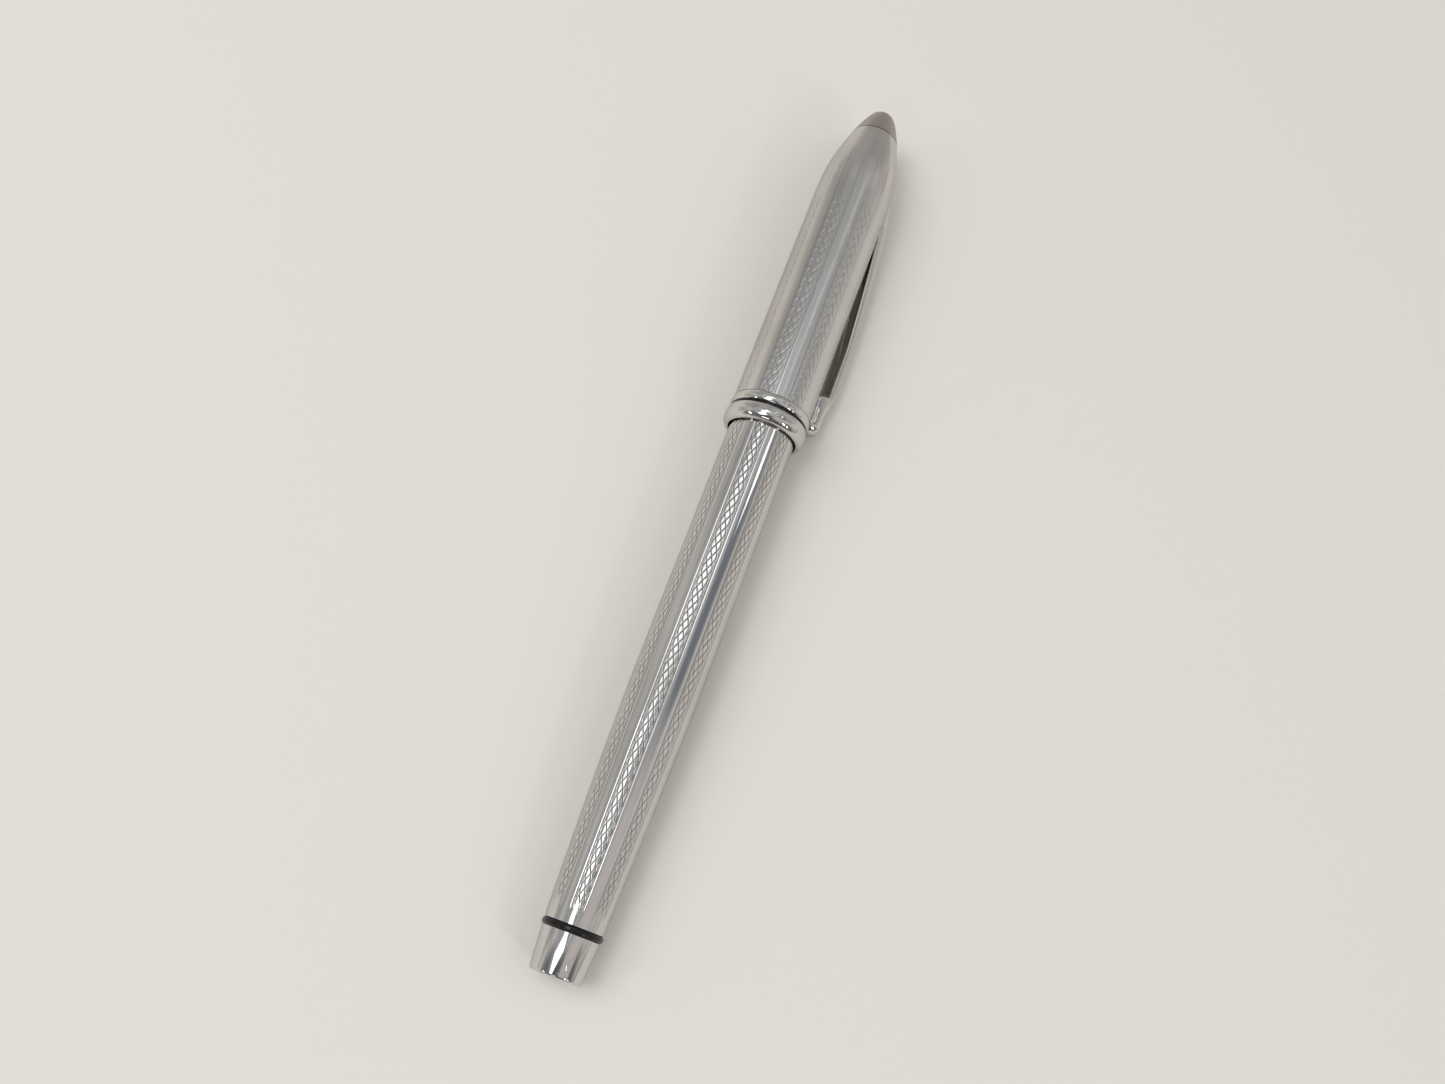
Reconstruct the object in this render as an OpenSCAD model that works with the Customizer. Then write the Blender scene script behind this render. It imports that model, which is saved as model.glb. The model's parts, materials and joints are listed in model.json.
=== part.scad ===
// Slim capped rollerball pen, lying on a table as it rests by itself.
// Each piece is turned about the pen's own axis: x runs from the flat tail end
// (x = 0) to the tip of the cap (x = pen_len). lay() then sets the pen down.

/* [Whole pen] */
// Length with the cap on
pen_len = 140; // [138:0.5:144]
// Smooth turning steps round each piece
$fn = 96; // [48:24:144]

/* [Barrel] */
// Radius of the straight part of the barrel
barrel_r = 4.97; // [4.9:0.01:5.0]
// Radius of the barrel just ahead of the black tail ring
barrel_tail_r = 4.02; // [4.0:0.01:4.1]
// Where the barrel's taper ends
taper_end_x = 41; // [36:1:46]
// Wall of the engraved barrel sleeve
sleeve_wall = 0.35; // [0.3:0.05:0.4]
// Shoulder where the barrel steps down just inside the cap's mouth
shoulder_x = 79.3; // [79.1:0.05:79.3]
// Front end of the barrel, hidden in the cap
barrel_end_x = 81.6; // [81.5:0.1:81.7]

/* [Tail] */
// Radius of the flat tail end
tail_end_r = 3.5; // [3.3:0.05:3.6]
// Radius of the tail piece beside the black ring
tail_plug_r = 4.0; // [3.9:0.01:4.02]
// Back face of the black tail ring
tail_ring_x = 5.6; // [5.4:0.1:5.8]
// Width of the black tail ring
tail_ring_w = 1.0; // [0.8:0.1:1.2]
// Outer radius of the black tail ring
tail_ring_r = 4.17; // [4.15:0.01:4.25]

/* [Cap] */
// Radius of the cap's straight part
cap_r = 5.91; // [5.9:0.01:6.0]
// Wall of the engraved cap tube
cap_wall = 0.5; // [0.45:0.05:0.55]
// Where the cap's end starts to curve in
dome_x = 121.7; // [121:0.1:122]
// Radius of that lengthwise curve
dome_arc_r = 40; // [38:1:44]
// Seam between the cap tube and the finial
seam_x = 134.4; // [134:0.1:135]
// Radius of the finial's round nose
nose_r = 2.35; // [2.2:0.05:2.5]

/* [Cap mouth] */
// Mouth end of the wide lip ring
lip_x = 79.35; // [79.2:0.05:79.5]
// Greatest radius of the lip ring
lip_r = 6.25; // [6.2:0.01:6.3]
// Radius of the hole in the lip
lip_hole_r = 5.05; // [5.03:0.01:5.07]
// Where the black inlay ring starts
inlay_x = 81.8; // [81.7:0.1:81.9]
// Where the slim trim ring starts
trim_x = 82.35; // [82.3:0.05:82.4]
// Where the engraved cap tube starts
tube_x = 83.8; // [83.7:0.1:83.9]

/* [Clip] */
// Width of the clip
clip_w = 3.4; // [3.2:0.1:3.6]
// Free end of the clip
clip_end_x = 84.1; // [84:0.1:84.4]

/* [Refill and section] */
// Length of the refill, from its rear plug to the ball
refill_len = 110.8; // [110.5:0.1:111]
// Radius of the refill's tube
refill_r = 2.95; // [2.9:0.01:2.97]
// Where the writing ball stands with the section screwed home
ball_x = 123.2; // [123:0.1:123.3]
// Radius of the writing ball
ball_r = 0.35; // [0.3:0.01:0.35]
// Play between parts that turn or slide on each other
play = 0.03; // [0.02:0.01:0.05]

/* [Hidden] */

// Clip outline: the outer and the inner face, as [x, distance from the pen's axis].
clip_outer = [[126.9, 5.55], [125.6, 6.3], [123.6, 7.05], [120, 7.62], [116.4, 7.97],
              [109.3, 8.5], [102.4, 8.9], [97, 9.12], [92, 9.15], [88, 9.08]];
clip_inner = [[90.6, 7.95], [98.6, 7.95], [102, 7.78], [108.9, 7.2], [115.9, 6.52], [119.4, 6.12]];
clip_contact = [88, 9.08];
foot_nose_r = 1.3;
foot_gap = 0.05;
clip_pivot = [122.6, 4.6];
root_bead_r = 0.75;

// The tilt that sets the tail ring and the lip ring on the table together.
tail_ring_mid = tail_ring_x + tail_ring_w / 2;
lip_top_x = lip_x + 1.4;
tilt = atan((lip_r - tail_ring_r) / (lip_top_x - tail_ring_mid));
lie_z = tail_ring_r * cos(tilt) - tail_ring_mid * sin(tilt);
// The turn about the axis that brings the clip's corner down onto the table too.
contact_h = (lie_z + clip_contact.x * sin(tilt)) / cos(tilt) - 0.02;
corner_r = norm([clip_contact.y, clip_w / 2]);
clip_turn = 180 - atan(clip_w / 2 / clip_contact.y) - acos(contact_h / corner_r);
// The box's middle goes to the origin.
clip_reach = 9.15 * sin(clip_turn) - clip_w / 2 * cos(clip_turn);
lie_x = -((pen_len - nose_r) * cos(tilt) + nose_r - tail_end_r * sin(tilt)) / 2;
lie_y = (clip_reach - lip_r) / 2;

// Dome of the cap: radius at x, and the same for a skin set in by a wall.
function dome_r(x, wall = 0) =
    cap_r - dome_arc_r + sqrt(pow(dome_arc_r - wall, 2) - pow(x - dome_x, 2));
function dome_line(from, to, wall, steps) =
    [for (i = [0:steps]) let (x = from + (to - from) * i / steps) [x, dome_r(x, wall)]];

// Barrel: a shallow curve from the tail to the straight part, set in by a wall.
function barrel_line(from, wall, steps) =
    [for (i = [0:steps]) let (x = from + (taper_end_x - from) * i / steps)
        [x, barrel_r - wall
            - (barrel_r - barrel_tail_r) * pow((taper_end_x - x) / (taper_end_x - tail_ring_x), 1.5)]];

// An arc of points about a centre, in degrees from +x towards the radius.
function arc(cx, cr, r, from, to, steps) =
    [for (i = [0:steps]) let (a = from + (to - from) * i / steps) [cx + r * cos(a), cr + r * sin(a)]];

// Lays the pen down: turned about its axis, tilted and moved onto the table.
module lay() {
    translate([lie_x, lie_y, lie_z]) rotate([0, -tilt, 0]) children();
}

// A piece turned about the pen's axis from its outline, as [x, radius] points.
module turned(outline) {
    lay() rotate([0, 90, 0]) rotate_extrude() polygon([for (p = outline) [p.y, p.x]]);
}

// A plain tube or rod between two stations.
module ring(from, to, outer, inner = 0) {
    lay() translate([from, 0, 0]) rotate([0, 90, 0]) difference() {
        cylinder(h = to - from, r = outer);
        if (inner > 0) translate([0, 0, -1]) cylinder(h = to - from + 2, r = inner);
    }
}

// ---- Barrel ----

// Inner radii of the barrel: round the refill, and round the section's thread.
liner_bore_r = refill_r + 0.35;
thread_bore_r = 4.2;
thread_x = 74;
tenon_r = 4.8;
liner_end_x = barrel_end_x - 0.6;

module barrel_sleeve() color("silver") {
    from = tail_ring_x + tail_ring_w;
    turned(concat(barrel_line(from, 0, 12), [[shoulder_x, barrel_r], [shoulder_x, tenon_r]],
                  [[barrel_end_x, tenon_r], [barrel_end_x, barrel_r - sleeve_wall]],
                  [for (i = [12:-1:0]) barrel_line(from, sleeve_wall, 12)[i]]));
}

module barrel_liner() color("darkgoldenrod") {
    from = tail_ring_x + tail_ring_w;
    turned(concat(barrel_line(from, sleeve_wall, 12), [[liner_end_x, barrel_r - sleeve_wall]],
                  [[liner_end_x, thread_bore_r], [thread_x, thread_bore_r]],
                  [[thread_x, liner_bore_r], [from, liner_bore_r]]));
}

module tail_ring() color("black") {
    corner = 0.2;
    from = tail_ring_x;
    to = tail_ring_x + tail_ring_w;
    turned(concat([[from, 3.2]], arc(from + corner, tail_ring_r - corner, corner, 180, 90, 4),
                  arc(to - corner, tail_ring_r - corner, corner, 90, 0, 4), [[to, 3.2]]));
}

// The tail piece: a polished taper with a flat end, on a hollow stem that holds the spring.
plug_bore_r = 2.65;
plug_bore_x = 2.6;
stem_end_x = 11.5;
module tail_plug() color("silver") {
    edge = 0.35;
    turned(concat([[0, 0]], arc(edge, tail_end_r - edge, edge, 180, 95, 5),
                  [[tail_ring_x, tail_plug_r], [tail_ring_x, 3.2], [tail_ring_x + tail_ring_w, 3.2]],
                  [[tail_ring_x + tail_ring_w, liner_bore_r], [stem_end_x, liner_bore_r]],
                  [[stem_end_x, plug_bore_r], [plug_bore_x, plug_bore_r], [plug_bore_x, 0]]));
}

// ---- Refill ----

refill_end_x = ball_x - refill_len;
core_end_x = 96;
collar_x = 98.6;
cone_x = 110.5;

// The spring that pushes the refill forward: a round wire swept along a coil.
spring_wire_r = 0.2;
spring_coil_r = 2.35;
spring_turns = 8;
spring_sides = 8;
spring_rings = 18 * spring_turns;
// The end turns lie close together, so the wire rises most in the middle.
function rise(u) = u - 0.9 * sin(360 * u) / 6.2832;
module refill_spring() color("lightgray") {
    start = plug_bore_x + spring_wire_r + 0.02;
    travel = refill_end_x - spring_wire_r - 0.02 - start;
    points = [for (i = [0:spring_rings]) let (u = i / spring_rings, a = 360 * spring_turns * u)
        for (j = [0:spring_sides - 1]) let (b = 360 * j / spring_sides,
            r = spring_coil_r + spring_wire_r * cos(b))
            [start + travel * rise(u) + spring_wire_r * sin(b), r * cos(a), r * sin(a)]];
    walls = [for (i = [0:spring_rings - 1]) for (j = [0:spring_sides - 1])
        let (k = (j + 1) % spring_sides, a = i * spring_sides, b = a + spring_sides)
            each [[a + j, a + k, b + k], [a + j, b + k, b + j]]];
    last = spring_rings * spring_sides;
    ends = [[for (j = [spring_sides - 1:-1:0]) j], [for (j = [0:spring_sides - 1]) last + j]];
    lay() polyhedron(points = points, faces = concat(walls, ends), convexity = 10);
}

module refill_tube() color("gainsboro") {
    ring(refill_end_x + 1.2, collar_x, refill_r, refill_r - 0.3);
}

module refill_rear_plug() color("dimgray") {
    turned([[refill_end_x, 0], [refill_end_x, 2.2], [refill_end_x + 0.4, 2.6],
            [refill_end_x + 1.2, 2.75], [refill_end_x + 1.2, refill_r - 0.3],
            [refill_end_x + 5, refill_r - 0.3], [refill_end_x + 5, 0]]);
}

module ink_core() color("midnightblue") {
    ring(refill_end_x + 6, core_end_x, refill_r - 0.35);
}

// The plastic front of the refill, with the shoulder that stops in the section.
module refill_collar() color("black") {
    plug_r = refill_r - 0.32;
    turned([[core_end_x + 0.2, 0], [core_end_x + 0.2, plug_r], [collar_x, plug_r],
            [collar_x, refill_r], [collar_x + 1.4, refill_r], [collar_x + 1.4, 2.3],
            [cone_x, 2.3], [cone_x, 0]]);
}

module tip_cone() color("silver") {
    seat = ball_x - ball_r - play;
    turned([[cone_x, 0], [cone_x, 2.2], [cone_x + 4.2, 1.9], [cone_x + 7.6, 1.15],
            [cone_x + 9.2, 1.1], [cone_x + 9.2, 0.75], [ball_x - 1.1, 0.7],
            [ball_x - 0.22, 0.42], [ball_x - 0.22, ball_r + play], [seat, ball_r + play], [seat, 0]]);
}

module tip_ball() color("gray") {
    lay() translate([ball_x, 0, 0]) rotate([90, 0, 0]) sphere(r = ball_r);
}

// ---- Section: the front that unscrews, hidden by the cap ----

bush_r = thread_bore_r - play;
bush_bore_r = refill_r + 0.08;
bush_end_x = 92;
grip_x = 86.4;
nose_x = 115.4;
nose_end_x = 118.4;
groove_x = 84;
snap_w = 0.9;

module thread_bush() color("darkgoldenrod") {
    turned([[thread_x + 0.5, bush_bore_r], [thread_x + 0.5, bush_r], [barrel_end_x, bush_r],
            [barrel_end_x, 3.75], [bush_end_x, 3.75], [bush_end_x, bush_bore_r]]);
}

// The metal collar that meets the barrel's end and carries the snap ring in a groove.
module section_collar() color("silver") {
    from = barrel_end_x + play;
    turned([[from, 3.75], [from, 4.66], [groove_x - play, 4.66], [groove_x - play, 4.2],
            [groove_x + snap_w + play, 4.2], [groove_x + snap_w + play, 4.62],
            [grip_x, 4.58], [grip_x, 3.75]]);
}

// The grip: it narrows gently to the nose ring, and its step stops the refill.
module section_grip() color("black") {
    steps = 8;
    taper = [for (i = [0:steps]) let (u = i / steps)
        [grip_x + (nose_x - grip_x) * u, 4.55 - 0.5 * u - 0.45 * u * u]];
    turned(concat(taper, [[nose_x, 2.4], [collar_x + 1.42, 2.4], [collar_x + 1.42, bush_bore_r]],
                  [[bush_end_x, bush_bore_r], [bush_end_x, 3.75], [grip_x, 3.75]]));
}

module nose_ring() color("silver") {
    turned([[nose_x, 2.35], [nose_x, 3.6], [nose_x + 0.8, 3.6], [nose_end_x - 0.5, 2.6],
            [nose_end_x, 2.2], [nose_end_x, 1.5], [nose_end_x - 1.2, 1.6], [nose_x + 1, 2.1]]);
}

// The split spring ring that the cap clicks over. It turns freely in its groove.
module snap_ring() color("lightgray") {
    slit = 1.2;
    lay() difference() {
        translate([groove_x, 0, 0]) rotate([0, 90, 0]) rotate_extrude()
            polygon([[4.25, 0], [4.65, 0], [4.85, snap_w / 2], [4.65, snap_w], [4.25, snap_w]]);
        translate([groove_x - 1, -slit / 2, 0]) cube([snap_w + 2, slit, 6]);
    }
}

// ---- Cap ----

spigot_end_x = 88.5;
mouth_flare = 0.2;
spigot_r = cap_r - cap_wall;
liner_end = 127.3;
stud_x = 127.5;
stud_end_x = 136;
slot_from = 118.6;
slot_to = 127.1;
slot_play = 0.12;

// The slot's cutter: the clip's width with play, from inside the cap outwards.
module clip_slot(inner) {
    rotate([clip_turn, 0, 0])
        translate([slot_from, -clip_w / 2 - slot_play, inner])
            cube([slot_to - slot_from, clip_w + 2 * slot_play, 8 - inner]);
}

module cap_tube() color("silver") {
    outer = concat([[tube_x, cap_r], [dome_x, cap_r]], dome_line(dome_x + 1.27, seam_x, 0, 9));
    inner = dome_line(seam_x, dome_x + 1.27, cap_wall, 9);
    difference() {
        turned(concat(outer, inner, [[dome_x, spigot_r], [tube_x, spigot_r]]));
        lay() clip_slot(3);
    }
}

// The wide convex lip, with the spigot that holds the rings on the tube. Its crown is
// a quarter of an ellipse at the flared mouth and a flatter arc towards the inlay.
module cap_lip() color("silver") {
    rise = lip_r - lip_hole_r;
    mouth_r = lip_hole_r + mouth_flare;
    mouth_side = [for (a = [180:-15:90])
        [lip_top_x + (lip_top_x - lip_x) * cos(a), mouth_r + (lip_r - mouth_r) * sin(a)]];
    inlay_angle = 59;
    inlay_reach = (inlay_x - lip_top_x) / cos(inlay_angle);
    inlay_side = [for (a = [82:-8:inlay_angle])
        [lip_top_x + inlay_reach * cos(a), lip_hole_r + rise * sin(a)]];
    turned(concat(mouth_side, inlay_side, [[inlay_x, lip_hole_r + rise * sin(inlay_angle)]],
                  [[inlay_x, spigot_r], [spigot_end_x, spigot_r], [spigot_end_x, lip_hole_r],
                   [lip_x + 2 * mouth_flare, lip_hole_r]]));
}

module cap_inlay_ring() color("black") {
    ring(inlay_x, trim_x, cap_r + 0.1, spigot_r);
}

module cap_trim_ring() color("silver") {
    steps = 8;
    crown = [for (i = [0:steps]) let (u = i / steps)
        [trim_x + (tube_x - trim_x) * u, cap_r - 0.08 + 0.27 * pow(sin(180 * u), 0.6)]];
    turned(concat([[trim_x, spigot_r]], crown, [[tube_x, spigot_r]]));
}

// The plastic sleeve inside the cap. It narrows at the top, where it meets the tip seal.
module cap_liner() color("dimgray") {
    neck_x = slot_from - 0.6;
    turned([[spigot_end_x, 4.95], [spigot_end_x, spigot_r], [neck_x - 1, spigot_r],
            [neck_x - 0.3, 4.7], [neck_x, 3.6], [liner_end, 3.6], [liner_end, 3.1],
            [slot_from, 3.1], [slot_from - 2, 4.1], [slot_from - 8, 4.95]]);
}

// The soft pad at the top of the liner that the tip stops short of.
module tip_seal() color("black") {
    turned([[liner_end - 1.4, 0], [liner_end - 1.4, 0.9], [liner_end - 0.9, 1.1],
            [liner_end - 0.9, 3.1], [liner_end, 3.1], [liner_end, 0]]);
}

// The bush that grips the clip's root from inside the cap.
module clip_retainer() color("lightgray") {
    gap = 0.02;
    difference() {
        turned(concat(dome_line(dome_x, stud_x + 2.5, cap_wall + gap, 6), [[stud_x + 2.5, 3.65]],
                      [[slot_from - 0.3, 3.65], [slot_from - 0.3, spigot_r - gap]]));
        lay() clip_slot(3);
    }
}

// The finial's spigot centres it in the dome, and a stud screwed into it draws it down.
module finial() color("silver") {
    lean = 33;
    spigot = dome_r(seam_x, cap_wall) - 0.02;
    seat = [seam_x + 0.12, dome_r(seam_x) - 0.04];
    brow = [pen_len - nose_r + nose_r * sin(lean), nose_r * cos(lean)];
    // The flank leaves the seam as steeply as the dome meets it, and ends on the nose.
    dome_fall = (seam_x - dome_x) / sqrt(pow(dome_arc_r, 2) - pow(seam_x - dome_x, 2));
    reach = (brow.y - seat.y + tan(lean) * (brow.x - seat.x)) / (tan(lean) - dome_fall);
    knee = seat + [reach, -dome_fall * reach];
    flank = [for (u = [0:0.125:0.875]) seat * pow(1 - u, 2) + knee * 2 * u * (1 - u) + brow * pow(u, 2)];
    turned(concat([[seam_x - 2.4, 1.6], [seam_x - 2.4, spigot], [seam_x, spigot], [seam_x, seat.y - 0.12]],
                  flank, arc(pen_len - nose_r, 0, nose_r, 90 - lean, 0, 10),
                  [[stud_end_x, 0], [stud_end_x, 1.6]]));
}

module finial_stud() color("darkgoldenrod") {
    turned([[stud_x, 0], [stud_x, 3.65], [stud_x + 2.5, 3.65], [stud_x + 2.5, 1.6],
            [stud_end_x, 1.6], [stud_end_x, 0]]);
}

// The clip: one bent strip of even width, with a thick foot at its free end and a
// root that goes through the slot and ends in a round bead. It springs 3 degrees
// about the bead.
module clip() color("silver") {
    heel = arc(clip_end_x + foot_nose_r, 9.0 - foot_nose_r, foot_nose_r, 90, 180, 6);
    toe = arc(clip_end_x + 0.8, cap_r + foot_gap + 0.8, 0.8, 180, 270, 5);
    foot = [[89.9, cap_r + foot_gap], [90.3, 6.6]];
    root = [[121.5, 5.75], [122, clip_pivot.y], [123.2, clip_pivot.y], [123.7, 5.25], [126.2, 5.3]];
    lay() rotate([clip_turn, 0, 0]) rotate([90, 0, 0]) translate([0, 0, -clip_w / 2]) {
        linear_extrude(height = clip_w) polygon(concat(clip_outer, heel, toe, foot, clip_inner, root));
        translate(clip_pivot) cylinder(h = clip_w, r = root_bead_r);
    }
}

barrel_sleeve();
barrel_liner();
tail_ring();
tail_plug();
refill_spring();
refill_tube();
refill_rear_plug();
ink_core();
refill_collar();
tip_cone();
tip_ball();
thread_bush();
section_collar();
section_grip();
nose_ring();
snap_ring();
cap_tube();
cap_lip();
cap_inlay_ring();
cap_trim_ring();
cap_liner();
tip_seal();
clip_retainer();
finial();
finial_stud();
clip();
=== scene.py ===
"""A slim capped rollerball pen, chromed and engraved, lying on a table.

The sections follow the pen as it is put together: barrel, tail, refill, writing
section, cap and clip. Pieces are drawn in millimetres along the pen's own axis,
x from the flat tail end (0) to the tip of the cap, and then laid in the frame.
"""
import json
import math

import bmesh
import bpy
from mathutils import Matrix, Vector


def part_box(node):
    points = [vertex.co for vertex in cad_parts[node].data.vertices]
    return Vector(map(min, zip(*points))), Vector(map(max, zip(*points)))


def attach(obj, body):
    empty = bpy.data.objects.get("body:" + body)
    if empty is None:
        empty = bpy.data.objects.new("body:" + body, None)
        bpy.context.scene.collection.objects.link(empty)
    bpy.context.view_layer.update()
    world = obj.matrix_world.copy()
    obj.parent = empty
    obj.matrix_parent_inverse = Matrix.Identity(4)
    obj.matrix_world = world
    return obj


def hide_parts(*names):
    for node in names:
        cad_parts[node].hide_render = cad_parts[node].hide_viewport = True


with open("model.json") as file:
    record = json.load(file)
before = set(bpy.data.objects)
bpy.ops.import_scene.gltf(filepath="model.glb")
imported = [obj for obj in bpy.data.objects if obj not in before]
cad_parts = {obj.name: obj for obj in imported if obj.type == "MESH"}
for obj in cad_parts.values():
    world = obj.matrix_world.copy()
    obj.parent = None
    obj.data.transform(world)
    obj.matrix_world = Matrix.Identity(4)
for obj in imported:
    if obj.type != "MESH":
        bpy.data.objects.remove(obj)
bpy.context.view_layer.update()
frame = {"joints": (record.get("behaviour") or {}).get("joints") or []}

# ---- The pen's place --------------------------------------------------------
# The cap slides off along the pen's axis and the writing ball sits on it, so the
# joints and the ball give the axis. The clip's hinge gives the clip's direction.
# BALL_X is the ball's centre, from the tail's flat end.
joints = {joint["name"]: joint for joint in frame["joints"]}
pen_axis = Vector(joints["cap_pull"]["axis"]).normalized()
pen_side = Vector((0, 1, 0))
pen_top = pen_axis.cross(pen_side)
ball_low, ball_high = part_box("tip_ball")
ball_centre = (ball_low + ball_high) / 2
BALL_X = 123.2
tail_end = ball_centre - pen_axis * BALL_X / 1000
to_frame = Matrix((pen_axis, pen_side, pen_top)).transposed().to_4x4()
to_frame.translation = tail_end
to_frame = to_frame @ Matrix.Scale(0.001, 4)
clip_out = pen_axis.cross(Vector(joints["clip_flex"]["axis"])).normalized()
CLIP_TURN = math.atan2(-clip_out.dot(pen_side), clip_out.dot(pen_top))

# ---- Camera -----------------------------------------------------------------
# A hand-held view from above the tail, looking along the pen towards the cap.
camera = bpy.data.objects.new("camera", bpy.data.cameras.new("camera"))
bpy.context.scene.collection.objects.link(camera)
bpy.context.scene.camera = camera
camera.data.sensor_width = 36
camera.data.lens = 31.42
camera.data.clip_start = 0.005
view_right = Vector((0.33760, -0.93404, 0.11664))
view_down = Vector((-0.88380, -0.35718, -0.30218))
view_back = Vector((-0.32391, 0.00107, 0.94609))
turn_to_frame = Matrix((pen_axis, pen_side, pen_top)).transposed()
camera_turn = turn_to_frame @ Matrix((view_right, -view_down, view_back)).transposed()
camera.matrix_world = Matrix.Translation(to_frame @ Vector((4.184, 0, 169.066))) @ camera_turn.to_4x4()

# ---- Table, daylight and lamps ----------------------------------------------
# A plain pale table lit by two broad soft lamps that don't show in the chrome. Six
# soft panels and five small round lamps do, as its streaks and bright spots.
table = bpy.data.objects.new("table", bpy.data.meshes.new("table"))
bpy.context.scene.collection.objects.link(table)
TABLE_HALF = 4
table_corners = [(TABLE_HALF * x, TABLE_HALF * y, 0) for x, y in ((-1, -1), (1, -1), (1, 1), (-1, 1))]
table.data.from_pydata(table_corners, [], [(0, 1, 2, 3)])
table_finish = bpy.data.materials.new("pale_table")
table_finish.use_nodes = True
table_shader = table_finish.node_tree.nodes["Principled BSDF"]
table_shader.inputs["Base Color"].default_value = (0.78, 0.76, 0.71, 1)
table_shader.inputs["Roughness"].default_value = 0.8
table_shader.inputs["Specular IOR Level"].default_value = 0.2
table.data.materials.append(table_finish)

bpy.context.scene.view_settings.view_transform = "Standard"
room = bpy.data.worlds.new("room")
bpy.context.scene.world = room
room.use_nodes = True
node, link = room.node_tree.nodes.new, room.node_tree.links.new
room_light = room.node_tree.nodes["Background"]
direction, height = node("ShaderNodeTexCoord"), node("ShaderNodeSeparateXYZ")
walls = node("ShaderNodeValToRGB")
link(direction.outputs["Generated"], height.inputs[0])
link(height.outputs["Z"], walls.inputs["Fac"])
walls.color_ramp.elements[0].color = (0.66, 0.61, 0.56, 1)
walls.color_ramp.elements[1].color = (0.50, 0.51, 0.52, 1)
for level, color in ((0.3, (0.56, 0.53, 0.50, 1)), (0.65, (0.50, 0.50, 0.49, 1))):
    walls.color_ramp.elements.new(level).color = color
# Soft unevenness, as of a room with furniture, and then in turn: a bluish doorway, a
# dark shape beyond the tail, two dark corners, a mauve wall and a duller far wall.
clutter, uneven, shade = node("ShaderNodeTexNoise"), node("ShaderNodeMapRange"), node("ShaderNodeMix")
clutter.inputs["Scale"].default_value = 2.6
clutter.inputs["Detail"].default_value = 2
uneven.inputs["From Min"].default_value, uneven.inputs["From Max"].default_value = 0.35, 0.65
uneven.inputs["To Min"].default_value, uneven.inputs["To Max"].default_value = 0.66, 1.26
shade.data_type, shade.blend_type = "RGBA", "MULTIPLY"
shade.inputs["Factor"].default_value = 1
link(direction.outputs["Generated"], clutter.inputs["Vector"])
link(clutter.outputs["Fac"], uneven.inputs["Value"])
link(walls.outputs["Color"], shade.inputs["A"])
link(uneven.outputs[0], shade.inputs["B"])
room_color = shade.outputs["Result"]
for aim, edge, core, color in (((0.24, -0.53, 0.81), 0.975, 0.992, (0.17, 0.19, 0.23, 1)),
                               ((-0.72, -0.05, 0.68), 0.77, 0.86, (0.08, 0.08, 0.09, 1)),
                               ((-0.55, -0.65, 0.52), 0.86, 0.93, (0.09, 0.09, 0.10, 1)),
                               ((-0.55, 0.65, 0.52), 0.88, 0.95, (0.16, 0.16, 0.17, 1)),
                               ((-0.25, -0.50, 0.83), 0.91, 0.96, (0.64, 0.59, 0.57, 1)),
                               ((0.98, -0.1, 0.2), 0.70, 0.95, (0.36, 0.34, 0.32, 1))):
    toward, depth, dark = node("ShaderNodeVectorMath"), node("ShaderNodeMapRange"), node("ShaderNodeMix")
    toward.operation = "DOT_PRODUCT"
    toward.inputs[1].default_value = Vector(aim).normalized()
    depth.inputs["From Min"].default_value, depth.inputs["From Max"].default_value = edge, core
    depth.inputs["To Max"].default_value = 0.85
    dark.data_type = "RGBA"
    dark.inputs["B"].default_value = color
    link(direction.outputs["Generated"], toward.inputs[0])
    link(toward.outputs["Value"], depth.inputs["Value"])
    link(depth.outputs[0], dark.inputs["Factor"])
    link(room_color, dark.inputs["A"])
    room_color = dark.outputs["Result"]
# A view from the side sees an even pale backdrop beyond the table, which the chrome
# doesn't reflect.
eye, backdrop = node("ShaderNodeLightPath"), node("ShaderNodeMix")
backdrop.data_type = "RGBA"
backdrop.inputs["B"].default_value = (0.66, 0.64, 0.60, 1)
link(eye.outputs["Is Camera Ray"], backdrop.inputs["Factor"])
link(room_color, backdrop.inputs["A"])
link(backdrop.outputs["Result"], room_light.inputs["Color"])


def soft_lamp(name, shape, size, place, glow, mirrored=True):
    """A soft lamp that faces the pen. size is (width, length) in metres, and glow its
    radiance. One that isn't mirrored lights the pen without a streak in the chrome."""
    light = bpy.data.lights.new(name, "AREA")
    light.shape = shape
    light.size, light.size_y = size
    light.energy = glow * math.pi * size[0] * size[1] * (math.pi / 4 if shape == "ELLIPSE" else 1)
    lamp = bpy.data.objects.new(name, light)
    bpy.context.scene.collection.objects.link(lamp)
    lamp.location = place
    lamp.rotation_euler = (-Vector(place)).to_track_quat("-Z", "Y").to_euler()
    lamp.visible_glossy = mirrored
    return lamp


soft_lamp("broad_lamp", "RECTANGLE", (0.6, 0.6), (-0.05, 0.62, 0.95), 3.5, mirrored=False)
soft_lamp("fill_lamp", "RECTANGLE", (0.8, 0.8), (0.1, -0.75, 0.9), 0.8, mirrored=False)
soft_lamp("plug_panel", "RECTANGLE", (0.3, 0.44), (-0.28, 0.34, 1.0), 2.2)
soft_lamp("ceiling_panel", "RECTANGLE", (0.22, 0.24), (-0.02, 0.31, 1.0), 1.9)
soft_lamp("long_panel", "RECTANGLE", (0.42, 0.3), (0.27, 0.24, 1.0), 1.05)
soft_lamp("near_panel", "RECTANGLE", (0.3, 0.1), (-0.78, 0.12, 0.66), 4)
soft_lamp("far_panel", "RECTANGLE", (0.12, 0.16), (0.517, -0.715, 1.1), 2.0)
soft_lamp("tube_lamp", "RECTANGLE", (0.02, 0.34), (0.69, -0.30, 1.1), 1.2)
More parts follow.
